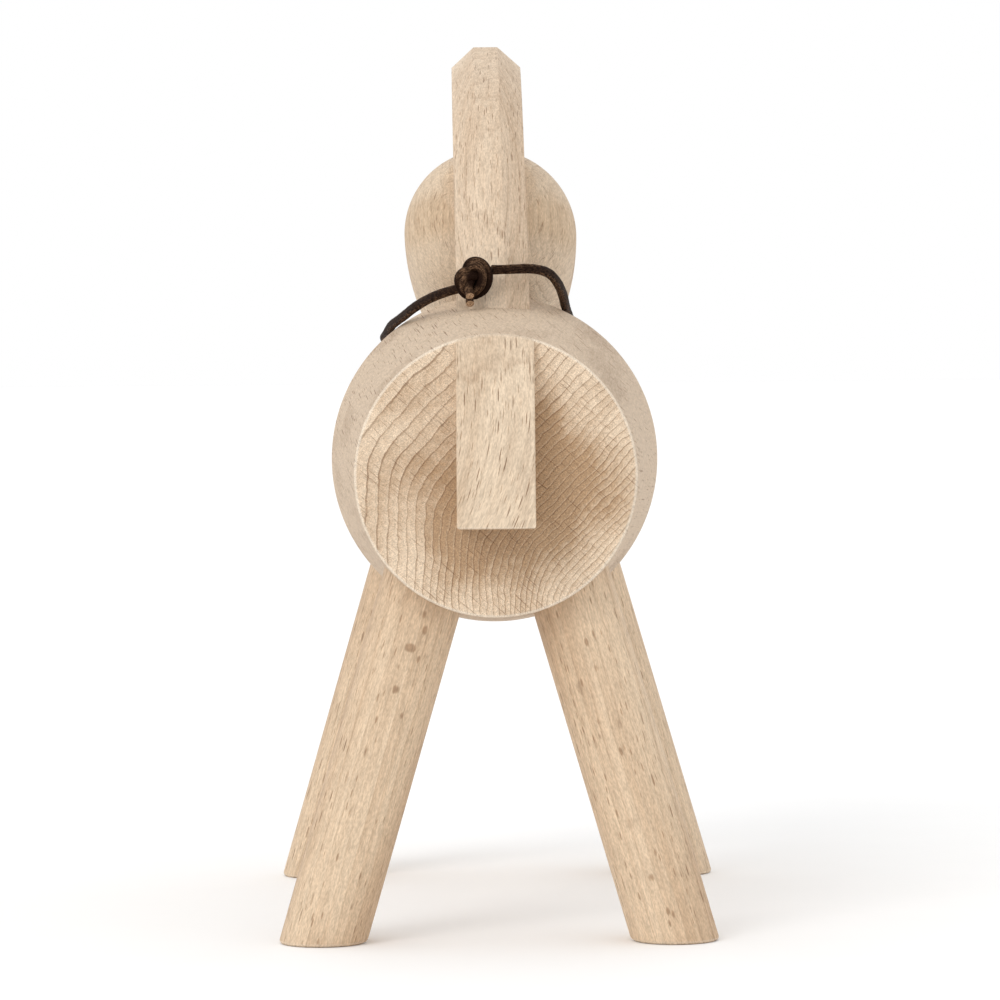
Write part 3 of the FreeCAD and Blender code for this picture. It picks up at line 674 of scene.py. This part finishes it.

# %% [markdown]
# ## One recipe for every piece of beech
# The recipe first bends the coordinates a little, because no tree is straight. It then finds
# where in its growth ring a point lies, which way the surface looks, and which rays and vessels
# run through the point. Colour is mixed from these in layers, and the same layers give the relief.

# %% Beech
def beech(name, axes, origin, rings, side, end, side_rings=0.30, wave=1.0, tall=6.5,
          thick=0.62, dark_patch=None, sway=None, wear_and_highlight=0.2):
    """Plain sanded beech; rings(graph, t, r) gives the ring number at a point.

    side and end are (light, dark) colours of the sides and of the cut ends; side_rings is how
    strongly rings show on the sides, wave how far the grain wanders, tall and thick the size of
    the rays. heart(graph, t, r) is 1 where a cut end is darker. sway = (from, rate)
    bends the grain: t - rate / 2 * (from - a)^2 below that height. worn is how far the eased
    edges of the cut ends are painted paler: a painted highlight along each rim, on sanded end
    grain that is a little paler too.
    """
    g = Graph(name)
    wood = wood_place(g, axes, origin)
    if sway:
        below = g.math("MAXIMUM", g.math("SUBTRACT", sway[0], g.parts(wood)[2]), 0.0)
        bent_by = g.times(below, below, -sway[1] / 2)
        wood = g.shifted(wood, g.add("ShaderNodeCombineXYZ", "Vector", {0: bent_by}))

    # wandering grain: two noises centred on zero, nearly even along the grain
    centred = (-0.5, -0.5, -0.5)
    slow = g.shifted(g.noise(g.scaled(wood, (1, 1, 0.08)), 0.10, 1.0, "Color"), centred)
    quick = g.shifted(g.noise(g.scaled(wood, (1, 1, 0.10)), 0.45, 2.0, "Color"), centred)
    drift = g.shifted(g.scaled(slow, (3 * wave, 3 * wave, 0)),
                      g.scaled(quick, (1.6 * wave, 1.6 * wave, 0)))
    bent_t, bent_r, _ = g.parts(g.shifted(wood, drift))
    straight = g.shifted(wood, g.scaled(drift, (0.25, 0.25, 0)))

    # growth rings: the whole part of the number is the year, the rest the season
    number = rings(g, bent_t, bent_r)
    season = g.math("FRACT", number)
    late = g.times(g.span(season, 0.80, 0.92), g.span(season, 0.95, 1.0, 1.0, 0.0))
    early = g.times(g.span(season, 0.0, 0.03), g.span(season, 0.10, 0.24, 1.0, 0.0))
    summer = g.span(season, 0.15, 0.85)
    year = g.add("ShaderNodeTexWhiteNoise", "Value", {"W": g.math("FLOOR", number)},
                 noise_dimensions="1D")

    # which way the surface looks: facing is 1 on a cut end, flat is 1 where rays are seen flat
    normal = g.add("ShaderNodeNewGeometry", "Normal", {})
    facing = g.math("ABSOLUTE", g.vector("DOT_PRODUCT", normal, tuple(axes[2]), output="Value"))
    flat = g.math("ABSOLUTE", g.vector("DOT_PRODUCT", normal, tuple(axes[0]), output="Value"))
    cut = g.span(facing, 0.45, 0.92)
    rings_seen = g.span(cut, 0.0, 1.0, side_rings, 1.0)

    # rays, vessels and the finer unevenness
    big = ray_plates(g, straight, (thick, 13, tall), 0.12, 0.22)
    small = ray_plates(g, g.shifted(straight, (31, 17, 53)), (0.38, 8, 0.6 * tall), 0.12, 0.24)
    patch = g.noise(g.scaled(wood, (1, 1, 0.25)), 0.09, 2.0)
    big = g.times(big, g.span(patch, 0.40, 0.58, 0.45, 1.0))
    vessels = g.noise(g.scaled(straight, (1, 1, 0.06)), 2.4, 2.0)
    speckle = g.noise(g.scaled(straight, (1, 1, 0.30)), 4.2, 1.5)
    pores = g.noise(g.scaled(straight, (1, 1, 0.15)), 5.5, 1.0)
    streaks = g.noise(g.scaled(straight, (1, 1, 0.02)), 0.8, 3.0)
    broad = g.noise(g.scaled(wood, (1, 1, 0.20)), 0.055, 2.0)
    mottle = g.noise(g.scaled(straight, (1, 1, 0.25)), 1.5, 3.0)

    # tone: 0 is the light colour, 1 the dark one
    tone = g.plus(g.span(broad, 0.38, 0.62, 0.05, 0.55), g.span(streaks, 0.3, 0.7, -0.05, 0.18),
                  g.times(summer, rings_seen, 0.20), g.times(year, rings_seen, 0.18))
    if dark_patch:
        middle = dark_patch(g, bent_t, bent_r)
        tone = g.plus(tone, g.times(middle, cut, 0.85), -0.30)
    tone = g.math("MINIMUM", g.math("MAXIMUM", tone, 0.0), 1.15)
    colour = g.mix(tone, g.mix(cut, side[0], end[0]), g.mix(cut, side[1], end[1]))

    # lines, bands and rays on top
    line = g.times(late, rings_seen)
    fleck = g.times(big, g.span(cut, 0.0, 1.0, 0.80, 0.55), g.span(flat, 0.55, 0.95, 1.0, 0.36))
    eased = g.times(g.span(facing, 0.12, 0.40), g.span(facing, 0.80, 0.98, 1.0, 0.0))
    colour = g.mix(g.times(line, g.span(patch, 0.35, 0.65, 0.32, 0.64)), colour, LATE_LINE)
    colour = g.mix(g.times(early, rings_seen, 0.18), colour, EARLY_BAND)
    colour = g.mix(g.times(small, g.span(cut, 0.0, 1.0, 0.62, 0.48)), colour, SMALL_RAY)
    colour = g.mix(fleck, colour, BIG_RAY)
    # painted highlight: the eased rim of each cut end is made paler, standing in for the light it
    # catches, on sanded end grain that is also a little paler
    colour = g.mix(g.times(eased, wear_and_highlight), colour, SANDED_RIM_HIGHLIGHT)

    # fine grain darkens and lightens everything; pores only the cut ends
    ends = g.plus(g.span(pores, 0.32, 0.68, 0.84, 1.13), -1.0)
    grain = g.times(g.span(vessels, 0.30, 0.70, 0.94, 1.05),
                    g.span(speckle, 0.28, 0.72, 0.86, 1.11),
                    g.span(mottle, 0.32, 0.68, 0.94, 1.06), g.plus(g.times(ends, cut), 1.0))
    grey = g.add("ShaderNodeCombineXYZ", "Vector", {0: grain, 1: grain, 2: grain})
    colour = g.scaled(colour, grey)

    height = g.plus(g.times(fleck, -0.7), g.times(speckle, 0.45), g.times(pores, cut, 1.1),
                    g.times(line, cut, -0.8))
    g.shader.inputs["Specular IOR Level"].default_value = 0.25
    return g.finish(colour, g.span(vessels, 0.3, 0.7, 0.74, 0.60), height, 0.06, 0.8)


# %% Rings of a tree that grew round
def round_rings(middle, width):
    """Rings round a tree's middle that lies that far off: number = distance / ring width."""
    def count(g, t, r):
        away = g.plus(r, middle)
        return g.math("DIVIDE", g.math("SQRT", g.plus(g.times(t, t), g.times(away, away))), width)
    return count


# %% [markdown]
# ## Rings of the barrel
# The end of the barrel shows a tree that did not grow round: the rings stand upright on the
# left, turn a soft corner and run off to the upper right, closer together there. That is the
# larger of two straight families of lines, joined by a smooth maximum. The spacing follows
# from a quadratic, so that rings lie over 2 mm apart at the left and little over 1 mm at the right.

# %% The barrel's own rings
RAY_TILT = math.radians(42)           # the rays run this far off level across the rear end
RINGS_A_MM, THINNING = 0.9, 0.009     # rings in a millimetre where m is 0, and their thinning
# rate of the sloping family against the upright one, where it starts, and the corner's softness
SLOPE_SHARE, SLOPE_START, CORNER = 0.8, 8.0, 7.0


def barrel_rings(g, t, r):
    """number = 0.9 m - 0.009 m^2, with m = smooth max(-u, 0.8 (v - u) / sqrt 2 + 8).

    u points to the right and v up on the end face; they come from t and r by the rays' tilt.
    """
    c, s = math.cos(RAY_TILT), math.sin(RAY_TILT)
    u = g.plus(g.times(r, c), g.times(t, s))
    v = g.math("SUBTRACT", g.times(t, c), g.times(r, s))
    sloping = g.plus(g.times(g.math("SUBTRACT", v, u), SLOPE_SHARE / math.sqrt(2)), SLOPE_START)
    m = g.math("SMOOTH_MAX", g.times(u, -1.0), sloping, CORNER)
    return g.times(m, g.plus(g.times(m, -THINNING), RINGS_A_MM))


DARK_PATCH_AT = (-1.0, 4.5)                # (t, r) of the middle of a darker patch, just off the barrel's axis and behind the tail's foot
DARK_PATCH_EDGE, DARK_PATCH_END = 11.0, 25.0    # fully dark up to the first distance, gone at the second


def barrel_dark_patch(g, t, r):
    """1 near the middle and 0 beyond its end: smooth step of the distance to DARK_PATCH_AT."""
    t, r = g.plus(t, -DARK_PATCH_AT[0]), g.plus(r, -DARK_PATCH_AT[1])
    away = g.math("SQRT", g.plus(g.times(t, t), g.times(r, r)))
    return g.span(away, DARK_PATCH_EDGE, DARK_PATCH_END, 1.0, 0.0)


# %% The barrel's wood
BARREL_AXES = wood_axes((0, -1, 0), (-math.cos(RAY_TILT), 0, -math.sin(RAY_TILT)))
print("barrel axes t, r, a:", [tuple(round(v, 3) for v in axis) for axis in BARREL_AXES])
# worn=0.5 gives the rear end's rim a stronger painted highlight than the other pieces get
barrel_wood = beech("beech_end_cut", BARREL_AXES, (0, 0, AXIS_Z), barrel_rings,
                    side=(srgb(200, 178, 153), srgb(152, 125, 98)),
                    end=(srgb(222, 200, 174), srgb(174, 143, 111)),
                    side_rings=0.10, wave=0.55, tall=46.0, thick=0.5, dark_patch=barrel_dark_patch, wear_and_highlight=0.5)

# %% The other pieces, each cut its own way
CUT_END = (srgb(208, 186, 160), srgb(178, 150, 120))
neck_wood = beech("beech_neck_cut", wood_axes((0, -0.70, 0.72), (0, 0.72, 0.70)), (4, 30, 60),
                  round_rings(60, 2.4), (srgb(220, 200, 176), srgb(188, 161, 133)), CUT_END,
                  tall=7.5)
tail_wood = beech("beech_tail_cut", wood_axes((0.0, -0.30, 1.0), (0, 1, 0.3)), (9, 20, 17),
                  round_rings(45, 2.2), (srgb(217, 197, 172), srgb(187, 161, 133)), CUT_END,
                  tall=8.5, sway=(66.0, 0.016))
head_wood = beech("beech_head_cut", wood_axes((0, -0.30, 1.0), (1, 0.2, 0)), (5, 3, 9),
                  round_rings(50, 2.0), (srgb(205, 182, 154), srgb(173, 144, 115)), CUT_END,
                  side_rings=0.35)
leg_woods = {}
for number, (leg, (side, foot_x, top_z, place)) in enumerate(legs.items()):
    leg_axes = wood_axes((-side * math.sin(SPLAY), 0, math.cos(SPLAY)), (1, 0.15 * side, 0))
    leg_woods[leg] = beech("beech_leg_cut_%d" % (number + 1), leg_axes,
                           (side * foot_x, REAR_Y - place + 3, 37.0 * number),
                           round_rings(38 + 7 * number, 2.1),
                           (srgb(217, 194, 166), srgb(182, 151, 120)), CUT_END,
                           tall=8.0, thick=0.95)
print("kinds of beech:", 4 + len(leg_woods))

# %% [markdown]
# ## Leather
# Dark brown leather, nearly black, cut from a hide and rolled round. The dye wears off where the
# lace rubs, so brown shows in streaks along it. Its pattern lies in the lace's own map: U counts
# millimetres along the lace and V goes once round it, so the streaks follow every bend.
# On the knot the same brown is a painted highlight on the strands that stand out round its rim.
# Deep between them, and in its middle, the leather is left dark as painted shade.

# %% Leather
# RUB_AND_HIGHLIGHT_BROWN is worn brown on the lace, and a painted highlight on the knot
DYE_DARK, DYE_LIGHT, RUB_AND_HIGHLIGHT_BROWN = srgb(20, 11, 8), srgb(44, 29, 22), srgb(138, 107, 82)


def rubbed_sides(g, turn, streak):
    """1 along two sides of the lace, in streaks: smooth steps of the streaks and of |sin turn|."""
    edge = g.math("ABSOLUTE", g.math("SINE", turn))
    return g.times(g.span(streak, 0.42, 0.62), g.span(edge, 0.35, 1.0, 0.18, 1.0))


def knot_rim_highlight(g, turn, streak):
    """Painted highlight, 1 where the knot's rim stands out backwards, in streaks; its middle stays
    0, as painted shade.
    """
    place = g.shifted(g.millimetres(), tuple(-KNOT_MIDDLE))
    away = g.vector("LENGTH", g.scaled(place, (1, 0, 1)), output="Value")
    return g.times(g.span(g.parts(place)[1], 0.7, 1.6), g.span(away, 1.3, 2.5),
                   g.span(streak, 0.42, 0.58, 0.20, 1.0))


def leather(name, rub_and_highlight, where):
    """Dark leather; rubbed is how far the brown shows through, and where is one of the two above.
    On the lace the brown is wear; on the knot it is a painted highlight.

    The noise runs round a ring of radius 1 (cos turn, sin turn), so it has no seam.
    """
    g = Graph(name)
    along, round_it, _ = g.parts(g.add("ShaderNodeUVMap", "UV", {}, uv_map="along_lace"))
    turn = g.times(round_it, 2 * math.pi)
    ring = g.add("ShaderNodeCombineXYZ", "Vector", {0: g.times(along, 0.35),
                                                    1: g.math("COSINE", turn),
                                                    2: g.math("SINE", turn)})
    streak = g.noise(ring, 3.2, 4.0)
    pore = g.noise(g.scaled(ring, (3.5, 1.6, 1.6)), 5.0, 3.0)
    wear_and_highlight = g.times(where(g, turn, streak), g.span(pore, 0.42, 0.58, 0.10, 1.0))
    colour = g.mix(g.span(pore, 0.3, 0.7), DYE_DARK, DYE_LIGHT)
    # brown wear along the lace; on the knot the same mix lays a painted highlight on the raised
    # strands
    colour = g.mix(g.times(wear_and_highlight, rub_and_highlight), colour, RUB_AND_HIGHLIGHT_BROWN)
    height = g.plus(streak, g.times(pore, 0.6))
    g.shader.inputs["IOR"].default_value = 1.06
    return g.finish(colour, g.span(pore, 0.3, 0.7, 0.42, 0.62), height, 0.12, 0.8)


lace_leather = leather("dark_lace_leather", 0.85, rubbed_sides)
# the knot's brown is a painted highlight on its raised rim strands, and its dark middle is painted
# shade
knot_leather = leather("knot_leather_painted_light", 0.70, knot_rim_highlight)


# %% The cut ends of the lace
def raw_cut():
    """Undyed leather: a fine noise between two tans."""
    g = Graph("raw_leather_cut")
    fibre = g.noise(g.millimetres(), 4.0, 4.0)
    colour = g.mix(g.span(fibre, 0.3, 0.7), srgb(112, 86, 66), srgb(206, 174, 142))
    g.shader.inputs["Specular IOR Level"].default_value = 0.2
    return g.finish(colour, 0.85, fibre, 0.10, 0.8)


cut_leather = raw_cut()
print("leathers:", lace_leather.name, knot_leather.name, cut_leather.name)

# %% Give every piece its finish
finishes = {barrel: barrel_wood, neck: neck_wood, tail: tail_wood, head: head_wood,
            lace: lace_leather, **leg_woods}
for piece, material in finishes.items():
    piece.data.materials.append(material)
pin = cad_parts["head_pin"]      # the hidden dowel pin stays the CAD's own solid
pin.data.materials.clear()
pin.data.materials.append(neck_wood)

# %% The knot has two finishes: its cut ends are the triangles near the ends of two strands
knot.data.materials.append(knot_leather)
knot.data.materials.append(cut_leather)
end_spots = knot_place([STRANDS[name][-1] for name in CUT_ENDS])
centres = np.empty(len(knot.data.polygons) * 3)
knot.data.polygons.foreach_get("center", centres)
centres = centres.reshape(-1, 3) / MM
corners = np.empty(len(knot.data.polygons), int)
knot.data.polygons.foreach_get("loop_total", corners)
apart = np.linalg.norm(centres[:, None] - end_spots[None], axis=2).min(1)
cut_faces = (corners == 3) & (apart < 0.45 * LACE)
knot.data.polygons.foreach_set("material_index", cut_faces.astype(np.int32))
knot.data.polygons.foreach_set("use_smooth", ~cut_faces)
print("faces of raw leather:", int(cut_faces.sum()))

# %% [markdown]
# ## Floor and light
# A plain pale floor, wide enough to run out of sight, under a white sky: the soft light inside
# a white tent. One broad lamp far off to the upper left, on the camera's side, gives the
# round pieces a lighter and a darker side. A sun lamp does this, because it lights the whole
# floor evenly; its wide angle makes the shadows soft.

# %% Floor
FLOOR_R, FLOOR_THICK, FLOOR_GAP = 6000.0, 5.0, 0.02   # the gap keeps it clear of the soles
floor_profile = np.array([(0, 1.0), (0, 200.0), (0, 800.0), (0, FLOOR_R),
                          (FLOOR_THICK, FLOOR_R), (FLOOR_THICK, 1.0)])
floor_rows = turned_rows(floor_profile, (0, 0, -FLOOR_GAP), (0, 0, -1), 96)
floor = closed_skin("pale_floor", floor_rows, smooth=False)
paper = Graph("pale_paper")
paper_grain = paper.noise(paper.add("ShaderNodeTexCoord", "Object", {}), 60.0, 3.0)
paper_white = paper.mix(paper_grain, (0.95, 0.95, 0.95, 1), (0.97, 0.97, 0.97, 1))
floor.data.materials.append(paper.finish(paper_white, 0.9, paper_grain, 0.02, 0.2))

# %% Light
sky = bpy.data.worlds.new("white_tent")
sky.use_nodes = True
sky.node_tree.nodes["Background"].inputs["Color"].default_value = (1.0, 1.0, 1.0, 1.0)
sky.node_tree.nodes["Background"].inputs["Strength"].default_value = 1.0
scene.world = sky

key = bpy.data.lights.new("key_lamp", "SUN")
key.energy = 0.78
key.angle = math.radians(28)
key_holder = bpy.data.objects.new("key_lamp", key)
key_holder.rotation_euler = Vector((0.55, 0.85, 0.65)).to_track_quat("Z", "Y").to_euler()
scene.collection.objects.link(key_holder)
print("key lamp strength:", round(key.energy, 2))
